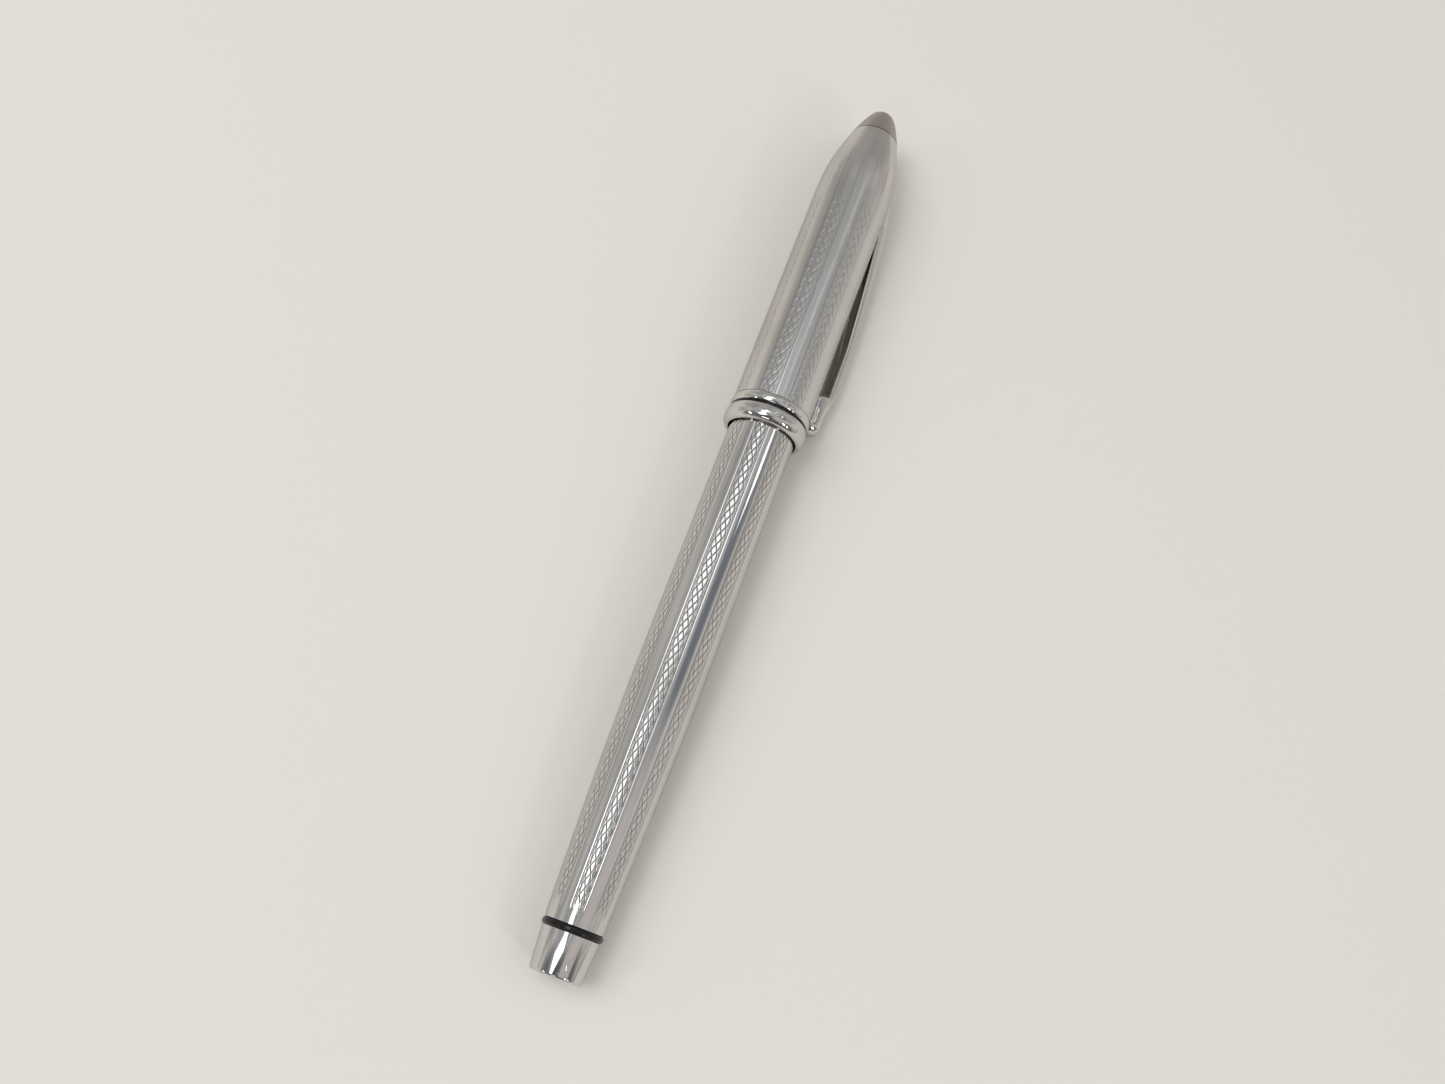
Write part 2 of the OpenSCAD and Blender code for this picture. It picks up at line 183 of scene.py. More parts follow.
for k, (x, y, z, across) in enumerate((
        (-0.62, -0.80, 0.74, 0.15), (-0.6, -1.02, 0.6, 0.08), (-0.72, -1.0, 0.5, 0.07),
        (-0.62, 0.92, 0.66, 0.11), (-0.56, 1.04, 0.66, 0.07))):
    soft_lamp(f"wall_spot_{k}", "ELLIPSE", (across, across), (x, y, z), 20)

# ---- Barrel sleeve ----------------------------------------------------------
# A chromed brass tube that narrows towards the tail. Eight bands are engraved
# along it, each with six crossing wave cuts between two straight border lines,
# and the panels between the bands stay plain and polished.
BARREL_R = 4.97
BARREL_TAIL_R = 4.02
TAPER_END_X = 41
TAIL_RING_X = 5.6
TAIL_RING_W = 1.0
SLEEVE_WALL = 0.35
SHOULDER_X = 79.3
BARREL_END_X = 81.6
TENON_R = 4.8
BANDS = 8
BARREL_BAND_TURN = math.radians(-6)


def barrel_line(x):
    """Radius of the barrel at x."""
    if x >= TAPER_END_X:
        return BARREL_R
    toward_tail = (TAPER_END_X - x) / (TAPER_END_X - TAIL_RING_X)
    return BARREL_R - (BARREL_R - BARREL_TAIL_R) * toward_tail ** 1.5


def around(x, radius, turn):
    """A point on the pen: turn is measured from the top towards -y."""
    return (x, -radius * math.sin(turn), radius * math.cos(turn))


def engraved_panel(name, line, start_x, end_x, pitch, lattice, borders, inside):
    """One eighth of an engraved tube: a band of crossing wave cuts and its plain borders.

    Rows of faces follow the cuts, so each small diamond has faces of its own. The
    attributes "cut" and "crown" hold how deep a point lies in a cut, and how far it
    lies below the middle of its diamond. inside is the outline that closes the wall.
    """
    waves = 6
    marks = (0, 0.085, 0.2, 0.5, 0.8, 0.915)
    step = 2 * math.pi / waves
    half_turn = waves // 2 * len(marks)
    band_half = math.radians(9.7)
    border_turn = math.radians(11.4)
    border_half = math.radians(0.75)
    panel_half = math.pi / BANDS
    cells = round((end_x - start_x) / pitch)
    stations = range(cells * len(marks) + 1)
    points, cut, crown, index, faces = [], [], [], {}, []

    def phase(mark):
        return step * (mark // len(marks) + marks[mark % len(marks)])

    def station_x(along):
        return start_x + (end_x - start_x) * along / phase(stations[-1])

    def strength(x, span, slope):
        """1 inside the span and 0 outside it, with a slope at each end."""
        return max(0, min(1, (x - span[0]) / slope, (span[1] - x) / slope))

    def add(x, radius, turn, cut_here=0, crown_here=0):
        points.append(around(x, radius, turn))
        cut.append(cut_here)
        crown.append(crown_here)
        return len(points) - 1

    def lattice_point(i, j):
        """The point where wave phase i meets the mirrored phase j, or None outside the band."""
        if (i, j) not in index:
            along, across = (phase(i) + phase(j)) / 2, (phase(i) - phase(j)) / 2
            inside_band = -1e-6 < across < math.pi + 1e-6
            if inside_band and -1e-6 < along < phase(stations[-1]) + 1e-6:
                x = station_x(along)
                a, b = marks[i % len(marks)], marks[j % len(marks)]
                live = strength(x, lattice, 1.2)
                in_cut = max(0, 1 - min(a, 1 - a, b, 1 - b) / marks[1])
                below = 1 - 16 * a * (1 - a) * b * (1 - b)
                turn = band_half * math.cos(across)
                index[i, j] = add(x, line(x), turn, live * in_cut, live * below)
            else:
                index[i, j] = None
        return index[i, j]

    for i in range(stations[-1] + half_turn):
        for j in range(max(-half_turn, i - 2 * half_turn - 1), min(i + 1, stations[-1])):
            corners = [lattice_point(i, j), lattice_point(i + 1, j),
                       lattice_point(i + 1, j + 1), lattice_point(i, j + 1)]
            corners = [corner for corner in corners if corner is not None]
            if len(corners) > 2:
                faces.append(corners)

    def end_row(along_mark):
        """The band's own points across its end, from the -y side."""
        marks_out = range(half_turn + 1)
        return [index[along_mark + mark, along_mark - mark] for mark in marks_out]

    first_rows, last_rows = end_row(0), end_row(stations[-1])
    for side in (1, -1):
        edge = [index[s, s] if side > 0 else index[s + half_turn, s - half_turn] for s in stations]
        turns = [border_turn - border_half, border_turn, border_turn + border_half]
        plain = panel_half - turns[-1]
        turns += [turns[-1] + plain * k / 3 for k in (1, 2, 3)]
        for turn in turns:
            row = []
            for s in stations:
                x = station_x(phase(s))
                in_cut = strength(x, borders, 1.2) if turn == border_turn else 0
                row.append(add(x, line(x), side * turn, in_cut))
            faces += [(edge[k], edge[k + 1], row[k + 1], row[k]) for k in range(len(row) - 1)]
            edge = row
            first_rows = [row[0]] + first_rows if side > 0 else first_rows + [row[0]]
            last_rows = [row[-1]] + last_rows if side > 0 else last_rows + [row[-1]]
    rows = [last_rows]
    turns = [math.atan2(-points[k][1], points[k][2]) for k in last_rows]
    for x, radius in inside:
        rows.append([add(x, radius, turn) for turn in turns])
    rows.append(first_rows)
    for above, below in zip(rows, rows[1:]):
        faces += [(above[k], above[k + 1], below[k + 1], below[k]) for k in range(len(above) - 1)]
    mesh = bpy.data.meshes.new(name)
    mesh.from_pydata(points, [], faces)
    for label, values in (("cut", cut), ("crown", crown)):
        mesh.attributes.new(label, "FLOAT", "POINT").data.foreach_set("value", values)
    return mesh


def node_maths(tree, operation, first, second):
    """One maths node on two numbers or sockets."""
    sum_node = tree.nodes.new("ShaderNodeMath")
    sum_node.operation = operation
    for slot, value in zip(sum_node.inputs, (first, second)):
        if isinstance(value, (int, float)):
            slot.default_value = value
        else:
            tree.links.new(value, slot)
    return sum_node.outputs[0]


def engraving_tree():
    """Geometry nodes that press the cuts into one panel and repeat it round the pen."""
    tree = bpy.data.node_groups.new("engraving", "GeometryNodeTree")
    for label, kind, start in (("Panel", "Geometry", None), ("Panels", "Int", BANDS),
                               ("First Turn", "Float", 0.0), ("Cut Depth", "Float", 0.05),
                               ("Crown Height", "Float", 0.02), ("Finish", "Material", None)):
        socket = tree.interface.new_socket(label, in_out="INPUT", socket_type="NodeSocket" + kind)
        if start is not None:
            socket.default_value = start
    tree.interface.new_socket("Tube", in_out="OUTPUT", socket_type="NodeSocketGeometry")
    node, link = tree.nodes.new, tree.links.new
    given, result = node("NodeGroupInput"), node("NodeGroupOutput")

    def maths(operation, first, second):
        return node_maths(tree, operation, first, second)

    depths = []
    for label, size in (("cut", "Cut Depth"), ("crown", "Crown Height")):
        mask = node("GeometryNodeInputNamedAttribute")
        mask.inputs["Name"].default_value = label
        depths.append(maths("MULTIPLY", mask.outputs["Attribute"], given.outputs[size]))
    split, radial = node("ShaderNodeSeparateXYZ"), node("ShaderNodeCombineXYZ")
    inward = node("ShaderNodeVectorMath")
    link(node("GeometryNodeInputPosition").outputs[0], split.inputs[0])
    link(split.outputs["Y"], radial.inputs["Y"])
    link(split.outputs["Z"], radial.inputs["Z"])
    direction = node("ShaderNodeVectorMath")
    direction.operation = "NORMALIZE"
    link(radial.outputs[0], direction.inputs[0])
    inward.operation = "SCALE"
    link(direction.outputs[0], inward.inputs[0])
    link(maths("MULTIPLY", maths("ADD", *depths), -1), inward.inputs["Scale"])
    press = node("GeometryNodeSetPosition")
    link(given.outputs["Panel"], press.inputs["Geometry"])
    link(inward.outputs[0], press.inputs["Offset"])

    spots, place = node("GeometryNodePoints"), node("GeometryNodeInstanceOnPoints")
    spin = node("ShaderNodeCombineXYZ")
    link(given.outputs["Panels"], spots.inputs["Count"])
    share = maths("DIVIDE", node("GeometryNodeInputIndex").outputs[0], given.outputs["Panels"])
    link(maths("ADD", maths("MULTIPLY", share, 2 * math.pi), given.outputs["First Turn"]), spin.inputs["X"])
    link(spots.outputs[0], place.inputs["Points"])
    link(press.outputs[0], place.inputs["Instance"])
    link(spin.outputs[0], place.inputs["Rotation"])
    whole, join, paint = (node("GeometryNodeRealizeInstances"), node("GeometryNodeMergeByDistance"),
                          node("GeometryNodeSetMaterial"))
    join.inputs["Distance"].default_value = 0.002
    link(place.outputs[0], whole.inputs[0])
    link(whole.outputs[0], join.inputs["Geometry"])
    link(join.outputs[0], paint.inputs["Geometry"])
    link(given.outputs["Finish"], paint.inputs["Material"])
    link(paint.outputs[0], result.inputs[0])
    return tree


def grown(name, base, tree, sizes):
    """The mesh, in pen millimetres, that a tree makes from a base mesh and its named inputs."""
    maker = bpy.data.objects.new(name + "_base", base or bpy.data.meshes.new(name + "_base"))
    bpy.context.scene.collection.objects.link(maker)
    modifier = maker.modifiers.new(tree.name, "NODES")
    modifier.node_group = tree
    for socket in tree.interface.items_tree:
        if socket.in_out == "INPUT" and socket.name in sizes:
            modifier[socket.identifier] = sizes[socket.name]
    bpy.context.view_layer.update()
    evaluated = maker.evaluated_get(bpy.context.evaluated_depsgraph_get())
    mesh = bpy.data.meshes.new_from_object(evaluated)
    maker.modifiers.remove(modifier)
    bpy.data.objects.remove(maker)
    mesh.name = name
    return mesh


def turn_faces_out(mesh):
    """Merges doubles and points every face outwards."""
    shell = bmesh.new()
    shell.from_mesh(mesh)
    bmesh.ops.remove_doubles(shell, verts=shell.verts, dist=1e-4)
    bmesh.ops.recalc_face_normals(shell, faces=shell.faces)
    shell.to_mesh(mesh)
    shell.free()


def lay_down(mesh, body, finish, slot, *nodes, sharp=40):
    """Lays a piece drawn in pen millimetres in the frame, in place of its CAD nodes.
    The piece takes its mesh's name."""
    mesh.transform(to_frame)
    mesh.shade_smooth()
    mesh.set_sharp_from_angle(angle=math.radians(sharp))
    mesh.materials.clear()
    mesh.materials.append(finish)
    piece = bpy.data.objects.new(mesh.name, mesh)
    bpy.context.scene.collection.objects.link(piece)
    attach(piece, body)
    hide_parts(*nodes)
    return piece


def handling_marks():
    """Shader group: soft smudges and fine random scratches over a surface."""
    group = bpy.data.node_groups.new("handling_marks", "ShaderNodeTree")
    face = group.interface
    face.new_socket("Vector", in_out="INPUT", socket_type="NodeSocketVector")
    for label, start in (("Smudge Scale", 90), ("Scratch Scale", 160)):
        face.new_socket(label, in_out="INPUT", socket_type="NodeSocketFloat").default_value = start
    for label in ("Smudges", "Scratches"):
        face.new_socket(label, in_out="OUTPUT", socket_type="NodeSocketFloat")
    node, link = group.nodes.new, group.links.new
    given, result = node("NodeGroupInput"), node("NodeGroupOutput")
    cloud, window = node("ShaderNodeTexNoise"), node("ShaderNodeMapRange")
    cloud.inputs["Detail"].default_value = 4
    window.inputs["From Min"].default_value, window.inputs["From Max"].default_value = 0.42, 0.68
    link(given.outputs["Vector"], cloud.inputs["Vector"])
    link(given.outputs["Smudge Scale"], cloud.inputs["Scale"])
    link(cloud.outputs["Fac"], window.inputs["Value"])
    link(window.outputs[0], result.inputs["Smudges"])
    total = None
    for turn, width in (((0.3, 0.2, 0.5), 0.006), ((1.1, 0.7, 2.0), 0.004)):
        placed, paths, away, line = (node("ShaderNodeMapping"), node("ShaderNodeTexNoise"),
                                     node("ShaderNodeMath"), node("ShaderNodeMapRange"))
        placed.inputs["Rotation"].default_value = turn
        placed.inputs["Scale"].default_value = (0.25, 1, 1)
        paths.inputs["Detail"].default_value = 1
        away.operation = "COMPARE"
        away.inputs[1].default_value = 0.5
        away.inputs[2].default_value = width
        link(given.outputs["Vector"], placed.inputs[0])
        link(placed.outputs[0], paths.inputs["Vector"])
        link(given.outputs["Scratch Scale"], paths.inputs["Scale"])
        link(paths.outputs["Fac"], away.inputs[0])
        link(away.outputs[0], line.inputs["Value"])
        if total is None:
            total = line.outputs[0]
        else:
            both = node("ShaderNodeMath")
            both.operation = "MAXIMUM"
            link(total, both.inputs[0])
            link(line.outputs[0], both.inputs[1])
            total = both.outputs[0]
    link(total, result.inputs["Scratches"])
    return group


def worn_finish(name, color, tint, metallic, roughness, smudged, scratch_depth=0.000002,
                smudge_scale=90, scratch_scale=160, grain=None):
    """A material whose colour and gloss vary with handling. color and tint are mixed by
    the smudges, and roughness rises to smudged. grain is (scale, stretch, depth) of a
    fine surface texture, stretched along the pen."""
    finish = bpy.data.materials.new(name)
    finish.use_nodes = True
    node, link = finish.node_tree.nodes.new, finish.node_tree.links.new
    shader = finish.node_tree.nodes["Principled BSDF"]
    shader.inputs["Metallic"].default_value = metallic
    if metallic:
        shader.inputs["Specular Tint"].default_value = (0.80, 0.77, 0.74, 1)
    place, marks = node("ShaderNodeTexCoord"), node("ShaderNodeGroup")
    marks.node_tree = marks_group
    marks.inputs["Smudge Scale"].default_value = smudge_scale
    marks.inputs["Scratch Scale"].default_value = scratch_scale
    link(place.outputs["Object"], marks.inputs["Vector"])
    mixed, gloss, bump = node("ShaderNodeMix"), node("ShaderNodeMapRange"), node("ShaderNodeBump")
    mixed.data_type = "RGBA"
    mixed.inputs["A"].default_value = (*color, 1)
    mixed.inputs["B"].default_value = (*tint, 1)
    link(marks.outputs["Smudges"], mixed.inputs["Factor"])
    link(mixed.outputs["Result"], shader.inputs["Base Color"])
    gloss.inputs["To Min"].default_value, gloss.inputs["To Max"].default_value = roughness, smudged
    link(marks.outputs["Smudges"], gloss.inputs["Value"])
    link(gloss.outputs[0], shader.inputs["Roughness"])
    bump.inputs["Distance"].default_value = scratch_depth
    bump.invert = True
    link(marks.outputs["Scratches"], bump.inputs["Height"])
    link(bump.outputs[0], shader.inputs["Normal"])
    if grain:
        scale, stretch, depth = grain
        drawn, fine, relief = node("ShaderNodeMapping"), node("ShaderNodeTexNoise"), node("ShaderNodeBump")
        drawn.inputs["Scale"].default_value = (stretch, 1, 1)
        fine.inputs["Scale"].default_value = scale
        fine.inputs["Detail"].default_value = 3
        relief.inputs["Distance"].default_value = depth
        link(place.outputs["Object"], drawn.inputs[0])
        link(drawn.outputs[0], fine.inputs["Vector"])
        link(fine.outputs["Fac"], relief.inputs["Height"])
        link(relief.outputs[0], bump.inputs["Normal"])
    return finish


marks_group = handling_marks()
engraving = engraving_tree()


def engraved_finish(name, roughness, smudged, painted_cut_shade):
    """Chrome with painted shade in its engraved cuts: the colour is mixed towards a darker one where the cut
    attribute is full.
    """
    finish = worn_finish(name, (0.67, 0.66, 0.65), (0.62, 0.61, 0.59), 1, roughness, smudged)
    node, link = finish.node_tree.nodes.new, finish.node_tree.links.new
    shader = finish.node_tree.nodes["Principled BSDF"]
    # The cut attribute mixes the painted shade colour into the cuts.
    cut_shade_mask, cut_shade_mix = node("ShaderNodeAttribute"), node("ShaderNodeMix")
    cut_shade_mask.attribute_name = "cut"
    cut_shade_mix.data_type = "RGBA"
    cut_shade_mix.inputs["B"].default_value = (*painted_cut_shade, 1)
    link(cut_shade_mask.outputs["Fac"], cut_shade_mix.inputs["Factor"])
    link(shader.inputs["Base Color"].links[0].from_socket, cut_shade_mix.inputs["A"])
    link(cut_shade_mix.outputs["Result"], shader.inputs["Base Color"])
    return finish


# The barrel's cuts are painted nearly black, as painted shade in the engraving.
engraved_chrome = engraved_finish("engraved_chrome", 0.05, 0.10, (0.09, 0.085, 0.08))
sleeve_start = TAIL_RING_X + TAIL_RING_W
barrel_inside = [(SHOULDER_X, TENON_R), (BARREL_END_X, TENON_R),
                 (BARREL_END_X, BARREL_R - SLEEVE_WALL), (TAPER_END_X, BARREL_R - SLEEVE_WALL)]
barrel_inside += [(x, barrel_line(x) - SLEEVE_WALL) for x in (30, 20, 12, sleeve_start)]
barrel_panel = engraved_panel("barrel_panel", barrel_line, sleeve_start, SHOULDER_X, 1.86,
                              (8.6, SHOULDER_X + 2), (7.8, SHOULDER_X + 2), barrel_inside)
barrel_tube = grown("barrel_sleeve_engraved", barrel_panel, engraving, {
    "First Turn": BARREL_BAND_TURN, "Cut Depth": 0.035, "Crown Height": 0.008, "Finish": engraved_chrome})
turn_faces_out(barrel_tube)
lay_down(barrel_tube, "barrel", engraved_chrome, "engraved_chrome", "barrel_sleeve")

# ---- Tail -------------------------------------------------------------------
# A polished chromed plug closes the barrel with a flat end. A slim black lacquered
# ring sits between the two on the plug's stem.
def rounded(outline, corner):
    """The outline with each sharp corner turned to a small arc."""
    result = []
    for k, here in enumerate(outline):
        before, after = Vector(outline[k - 1]), Vector(outline[(k + 1) % len(outline)])
        here = Vector(here)
        back, ahead = before - here, after - here
        if here.y < 1e-6 or back.angle(ahead) > math.radians(150):
            result.append(here)
            continue
        reach = min(corner, 0.4 * back.length, 0.4 * ahead.length)
        start, end = here + back.normalized() * reach, here + ahead.normalized() * reach
        for u in (0, 0.25, 0.5, 0.75, 1):
            result.append(start * (1 - u) ** 2 + here * 2 * u * (1 - u) + end * u ** 2)
    return result


def turned(name, outline, corner=0.05, steps=160, slit=0, relief=None):
    """The mesh of a piece turned about the pen's axis from its outline, as (x, radius) points.

    slit leaves an opening of that many radians at the top. relief(x, radius, turn) gives
    the radius where it isn't round, as on a thread.
    """
    points, faces, rings = [], [], []
    swept = 2 * math.pi - slit
    turns = [slit / 2 + swept * k / steps for k in range(steps + 1 if slit else steps)]
    for x, radius in rounded(outline, corner) if corner else map(Vector, outline):
        if radius < 1e-6:
            points.append((x, 0, 0))
            rings.append([len(points) - 1] * len(turns))
            continue
        rings.append(range(len(points), len(points) + len(turns)))
        points += [around(x, relief(x, radius, turn) if relief else radius, turn) for turn in turns]
    for ring, following in zip(rings, rings[1:] + rings[:1]):
        for k in range(steps):
            n = (k + 1) % len(turns)
            corners = list(dict.fromkeys((ring[k], ring[n], following[n], following[k])))
            if len(corners) > 2:
                faces.append(corners)
    if slit:
        faces += [[ring[0] for ring in rings], [ring[-1] for ring in rings]]
    mesh = bpy.data.meshes.new(name)
    mesh.from_pydata(points, [], faces)
    turn_faces_out(mesh)
    return mesh


def arc(centre_x, centre_r, reach, start, end, steps, rise=None):
    """Points of a round arc, in degrees from +x towards the outside, or of an ellipse's
    where its rise from the centre differs from its reach."""
    rise = reach if rise is None else rise
    angles = [math.radians(start + (end - start) * k / steps) for k in range(steps + 1)]
    return [(centre_x + reach * math.cos(a), centre_r + rise * math.sin(a)) for a in angles]


TAIL_RING_R = 4.17
TAIL_END_R = 3.5
TAIL_PLUG_R = 4.0
STEM_R = 3.2
LINER_BORE_R = 3.3
STEM_END_X = 11.5
PLUG_BORE_R = 2.65
PLUG_BORE_X = 2.6
chrome = worn_finish("chrome", (0.68, 0.67, 0.66), (0.63, 0.62, 0.60), 1, 0.025, 0.07)
black_lacquer = worn_finish("black_lacquer", (0.006, 0.006, 0.007), (0.011, 0.011, 0.011), 0, 0.1, 0.22)
black_lacquer.node_tree.nodes["Principled BSDF"].inputs["Specular IOR Level"].default_value = 0.35
crown = [(TAIL_RING_X + TAIL_RING_W * k / 12, STEM_R + (TAIL_RING_R - STEM_R)
          * (1 - abs(k / 6 - 1) ** 3.2) ** 0.31) for k in range(1, 12)]
tail_ring = turned("tail_ring_lacquered", [(TAIL_RING_X, STEM_R), (TAIL_RING_X, 3.9)] + crown
                   + [(sleeve_start, 3.9), (sleeve_start, STEM_R)], corner=0)
lay_down(tail_ring, "barrel", black_lacquer, "black_lacquer", "tail_ring")
tail_edge = arc(0.42, TAIL_END_R - 0.36, 0.4, 175, 97, 7)
tail_plug = turned("tail_plug_polished", [(0, 0), (0.03, 1.5)] + tail_edge
                   + [(TAIL_RING_X, TAIL_PLUG_R), (TAIL_RING_X, STEM_R), (sleeve_start, STEM_R),
                      (sleeve_start, LINER_BORE_R), (STEM_END_X, LINER_BORE_R),
                      (STEM_END_X, PLUG_BORE_R), (PLUG_BORE_X, PLUG_BORE_R), (PLUG_BORE_X, 0)])
lay_down(tail_plug, "barrel", chrome, "chrome", "tail_plug")

# ---- Barrel liner -----------------------------------------------------------
# The brass tube inside the sleeve: a long bore round the refill, and a wider mouth
# cut with the thread that takes the writing section.
REFILL_R = 2.95
THREAD_BORE_R = 4.2
THREAD_X = 74
LINER_END_X = BARREL_END_X - 0.6
THREAD_PITCH = 1.0
THREAD_DEPTH = 0.28
brass = worn_finish("brass", (0.72, 0.53, 0.25), (0.60, 0.42, 0.19), 1, 0.18, 0.34,
                    grain=(5200, 0.04, 2e-6))


def inside_thread(x, radius, turn):
    """Radius of the mouth's thread, cut outwards into the liner."""
    if abs(radius - THREAD_BORE_R) > 0.01 or not THREAD_X + 0.6 < x < LINER_END_X - 0.3:
        return radius
    share = (x / THREAD_PITCH + turn / (2 * math.pi)) % 1
    return radius + THREAD_DEPTH * (1 - abs(2 * share - 1))


mouth = [(LINER_END_X - (LINER_END_X - THREAD_X) * k / 56, THREAD_BORE_R) for k in range(57)]
liner_outside = [(x, barrel_line(x) - SLEEVE_WALL) for x in (sleeve_start, 12, 20, 30, TAPER_END_X)]
liner_outline = liner_outside + [(LINER_END_X, BARREL_R - SLEEVE_WALL)] + mouth
liner_outline += [(THREAD_X, LINER_BORE_R), (sleeve_start, LINER_BORE_R)]
liner = turned("barrel_liner_brass", liner_outline, corner=0, steps=96, relief=inside_thread)
lay_down(liner, "barrel", brass, "brass", "barrel_liner")

# ---- Refill spring ----------------------------------------------------------
# A coil of round steel wire in the tail plug, with close end turns, that pushes the
# refill forward.
REFILL_LEN = 110.8
REFILL_END_X = BALL_X - REFILL_LEN
WIRE_R = 0.2
SPRING_COIL_R = 2.35
SPRING_TURNS = 8
WIRE_POINTS = 321
WIRE_SIDES = 14
SPRING_PLAY = 0.02
spring_steel = worn_finish("spring_steel", (0.60, 0.59, 0.57), (0.48, 0.46, 0.43), 1, 0.2, 0.36,
                           grain=(2600, 1, 1.5e-6))


def spring_tree():
    """Geometry nodes that wind a round wire into a coil with close end turns."""
    tree = bpy.data.node_groups.new("wound_spring", "GeometryNodeTree")
    for label, start in (("Turns", SPRING_TURNS), ("Coil Radius", SPRING_COIL_R), ("Wire Radius", WIRE_R),
                         ("Start", 0.0), ("Length", 1.0), ("Close Ends", 0.9)):
        size = tree.interface.new_socket(label, in_out="INPUT", socket_type="NodeSocketFloat")
        size.default_value = start
    tree.interface.new_socket("Finish", in_out="INPUT", socket_type="NodeSocketMaterial")
    tree.interface.new_socket("Spring", in_out="OUTPUT", socket_type="NodeSocketGeometry")
    node, link = tree.nodes.new, tree.links.new
    given, result = node("NodeGroupInput"), node("NodeGroupOutput")
    size = given.outputs

    def maths(operation, first, second=0.0):
        return node_maths(tree, operation, first, second)

    wire, points = node("GeometryNodeCurvePrimitiveLine"), node("GeometryNodeResampleCurve")
    along = node("GeometryNodeSplineParameter")
    points.inputs["Count"].default_value = WIRE_POINTS
    link(wire.outputs[0], points.inputs["Curve"])
    share = along.outputs["Factor"]
    angle = maths("MULTIPLY", maths("MULTIPLY", share, 2 * math.pi), size["Turns"])
    wave = maths("DIVIDE", maths("SINE", maths("MULTIPLY", share, 2 * math.pi)), 2 * math.pi)
    rise = maths("SUBTRACT", share, maths("MULTIPLY", wave, size["Close Ends"]))
    spot, put = node("ShaderNodeCombineXYZ"), node("GeometryNodeSetPosition")
    tube = node("GeometryNodeCurveToMesh")
    link(maths("ADD", size["Start"], maths("MULTIPLY", rise, size["Length"])), spot.inputs["X"])
    link(maths("MULTIPLY", maths("COSINE", angle), size["Coil Radius"]), spot.inputs["Y"])
    link(maths("MULTIPLY", maths("SINE", angle), size["Coil Radius"]), spot.inputs["Z"])
    link(points.outputs[0], put.inputs["Geometry"])
    link(spot.outputs[0], put.inputs["Position"])
    section = node("GeometryNodeCurvePrimitiveCircle")
    section.inputs["Resolution"].default_value = WIRE_SIDES
    link(size["Wire Radius"], section.inputs["Radius"])
    link(put.outputs[0], tube.inputs["Curve"])
    link(section.outputs[0], tube.inputs["Profile Curve"])
    tube.inputs["Fill Caps"].default_value = True
    whole, paint = node("GeometryNodeRealizeInstances"), node("GeometryNodeSetMaterial")
    link(tube.outputs[0], whole.inputs[0])
    link(whole.outputs[0], paint.inputs["Geometry"])
    link(size["Finish"], paint.inputs["Material"])
    link(paint.outputs[0], result.inputs[0])
    return tree


spring_start = PLUG_BORE_X + WIRE_R + SPRING_PLAY
spring_length = REFILL_END_X - WIRE_R - SPRING_PLAY - spring_start
spring = grown("refill_spring_wound", None, spring_tree(), {
    "Start": spring_start, "Length": spring_length, "Finish": spring_steel})
turn_faces_out(spring)
lay_down(spring, "barrel", spring_steel, "spring_steel", "refill_spring", sharp=50)

# ---- Refill -----------------------------------------------------------------
# A steel tube of ink with a pressed-in rear plug, a black plastic collar whose
# shoulder stops in the section, and a turned cone that holds the writing ball.
CORE_END_X = 96
COLLAR_X = 98.6
CONE_X = 110.5
BALL_R = 0.35
PLAY = 0.03
COLLAR_R = 2.3
FIN_GROOVE_R = 1.9
FIN_W = 0.5
FIN_PITCH = 1.3
refill_steel = worn_finish("refill_steel", (0.66, 0.65, 0.63), (0.57, 0.56, 0.54), 1, 0.22, 0.34,
                           grain=(4200, 0.03, 2e-6))
dark_plastic = worn_finish("dark_plastic", (0.035, 0.036, 0.04), (0.05, 0.05, 0.052), 0, 0.42, 0.55,
                           grain=(3000, 1, 3e-6))
ink = worn_finish("ink", (0.006, 0.009, 0.05), (0.01, 0.012, 0.07), 0, 0.12, 0.3)
ball_carbide = worn_finish("ball_carbide", (0.34, 0.34, 0.35), (0.28, 0.28, 0.29), 1, 0.16, 0.3,
                           grain=(30000, 1, 4e-7))
tube_from, bore = REFILL_END_X + 1.2, REFILL_R - 0.3
crimp = [(CORE_END_X - 3 + 0.25 * k, REFILL_R - 0.09 * math.sin(math.pi * k / 6)) for k in range(7)]
tube = turned("refill_tube_steel", [(tube_from, bore), (tube_from, REFILL_R)] + crimp
              + [(COLLAR_X, REFILL_R), (COLLAR_X, bore)], corner=0.06)
lay_down(tube, "refill", refill_steel, "refill_steel", "refill_tube")
rear = turned("refill_rear_plug_moulded", [(REFILL_END_X, 0), (REFILL_END_X, 2.2), (REFILL_END_X + 0.4, 2.6),
              (tube_from, 2.75), (tube_from, bore), (REFILL_END_X + 5, bore), (REFILL_END_X + 5, 0)])
lay_down(rear, "refill", dark_plastic, "dark_plastic", "refill_rear_plug")
core = turned("ink_core_fill", [(REFILL_END_X + 6, 0), (REFILL_END_X + 6.3, 1.4),
              (REFILL_END_X + 6, bore - 0.05), (CORE_END_X, bore - 0.05), (CORE_END_X, 0)], steps=96)
lay_down(core, "refill", ink, "ink", "ink_core")
fins = []
for k in range(6):
    fin_x = COLLAR_X + 2.6 + FIN_PITCH * k
    fins += [(fin_x, COLLAR_R), (fin_x, FIN_GROOVE_R)]
    fins += [(fin_x + FIN_W, FIN_GROOVE_R), (fin_x + FIN_W, COLLAR_R)]
collar = turned("refill_collar_moulded", [(CORE_END_X + 0.2, 0), (CORE_END_X + 0.2, REFILL_R - 0.32),
                (COLLAR_X, REFILL_R - 0.32), (COLLAR_X, REFILL_R), (COLLAR_X + 1.4, REFILL_R),
                (COLLAR_X + 1.4, COLLAR_R)] + fins + [(CONE_X, COLLAR_R), (CONE_X, 0)],
                corner=0.06, steps=128)
lay_down(collar, "refill", dark_plastic, "black_resin", "refill_collar")
